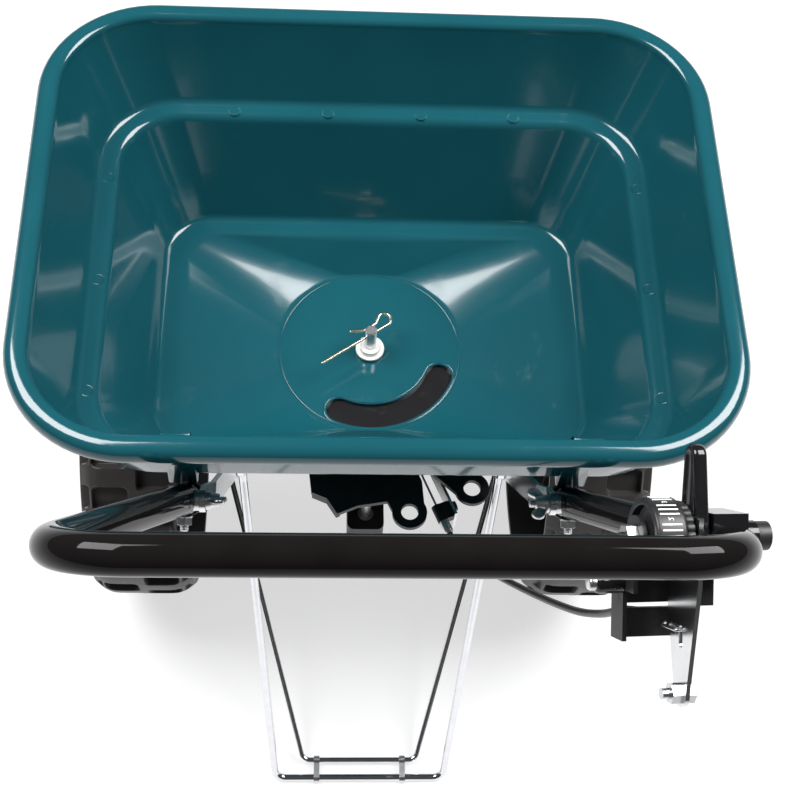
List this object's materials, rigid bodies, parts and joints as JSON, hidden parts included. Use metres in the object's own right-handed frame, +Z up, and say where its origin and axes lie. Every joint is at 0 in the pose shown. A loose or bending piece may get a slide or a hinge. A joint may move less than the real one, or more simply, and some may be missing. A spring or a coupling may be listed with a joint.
{
  "type": "push broadcast spreader",
  "caption": "Push broadcast spreader with a stepped teal hopper, tube handle, slide gate control, geared spinner, two wheels and a wire stand.",
  "frame": {"origin": "under the middle of the whole object, on the floor", "axes": "+Z up; +Y forwards, away from the operator; +X to the operator's right"},
  "size_m": [0.5, 0.5708, 0.6451],
  "materials": {
    "hopper_teal": "gloss",
    "black_plastic": "satin",
    "zinc": "satin",
    "nylon": "satin",
    "steel_wire": "satin",
    "gear_housing": "satin",
    "clip_wire": "gloss",
    "wheel_plastic": "matte",
    "zinc_bar": "satin",
    "tube_paint": "gloss",
    "cap_plastic": "matte",
    "chrome_rod": "gloss",
    "sheath_plastic": "satin",
    "gloss_black": "gloss",
    "dial_plastic": "satin"
  },
  "bodies": {
    "frame": {"hopper": "hopper_teal", "base_plate": "black_plastic", "base_screws": "zinc", "shaft_bushing": "nylon", "gearbox_left": "gear_housing", "gearbox_right": "gear_housing", "gearbox_screws": "zinc", "torque_pin": "steel_wire", "strut_left": "zinc_bar", "strut_right": "zinc_bar", "axle_bushings": "black_plastic", "handle_tube": "tube_paint", "tube_caps": "cap_plastic", "handle_bolts": "zinc", "wing_nuts": "zinc", "tube_washers": "zinc", "tube_bolts": "zinc", "tube_nuts": "zinc", "leg_rod": "chrome_rod", "leg_bolts": "zinc", "brace_rod": "chrome_rod", "foot_clips": "zinc", "cable_bracket": "zinc_bar", "cable_clip": "black_plastic", "cable_sheath": "sheath_plastic", "control_saddle": "black_plastic", "control_bracket": "black_plastic", "pivot_bolt": "black_plastic", "pivot_nut": "zinc", "stop_knob": "gloss_black"},
    "axle_body": {"axle": "steel_wire", "ring_gear": "nylon", "gear_pin": "zinc", "axle_spacers": "black_plastic", "axle_washers": "zinc", "axle_clips": "zinc", "drive_pin": "zinc", "wheel_left": "wheel_plastic"},
    "right_wheel": {"wheel_right": "wheel_plastic"},
    "spinner_body": {"drive_shaft": "steel_wire", "shaft_pinion": "nylon", "spinner": "black_plastic", "spinner_pin": "zinc", "agitator_clip": "clip_wire"},
    "gate_body": {"slide_gate": "black_plastic", "gate_wire": "steel_wire"},
    "lever_body": {"control_lever": "gloss_black", "lever_arm": "zinc_bar", "arm_bolt": "zinc"},
    "wire_body": {"control_wire": "steel_wire"},
    "dial_body": {"rate_dial": "dial_plastic", "dial_ring": "gloss_black"}
  },
  "joints": [
    {"name": "axle_spin", "type": "hinge", "parent": "frame", "child": "axle_body", "pos_m": [0, 0.09237, 0.15], "axis": [1, 0, 0], "continuous": true},
    {"name": "right_wheel_spin", "type": "hinge", "parent": "frame", "child": "right_wheel", "pos_m": [0.1875, 0.09237, 0.15], "axis": [1, 0, 0], "continuous": true},
    {"name": "spinner_spin", "type": "hinge", "parent": "frame", "child": "spinner_body", "pos_m": [0, 0.09237, 0.25], "axis": [0, 0, 1], "continuous": true},
    {"name": "lever_swing", "type": "hinge", "parent": "frame", "child": "lever_body", "pos_m": [0.15361, -0.20525, 0.58817], "axis": [-0.983, -0.0926, 0.1586], "range_deg": [0, 29.25]},
    {"name": "gate_slide", "type": "slide", "parent": "frame", "child": "gate_body", "axis": [0.3746, -0.9272, 0], "range_m": [0, 0.028]},
    {"name": "wire_slide", "type": "slide", "parent": "frame", "child": "wire_body", "axis": [0.1837, -0.4955, 0.849], "range_m": [0, 0.028]},
    {"name": "dial_turn", "type": "hinge", "parent": "frame", "child": "dial_body", "pos_m": [0.13886, -0.20663, 0.59055], "axis": [-0.983, -0.0926, 0.1586], "range_deg": [0, 270]}
  ],
  "couplings": [
    {"joint": "spinner_spin", "follows": "axle_spin", "ratio": -4},
    {"joint": "gate_slide", "follows": "lever_swing", "m_per_rad": 0.054849},
    {"joint": "wire_slide", "follows": "lever_swing", "m_per_rad": 0.054849}
  ]
}
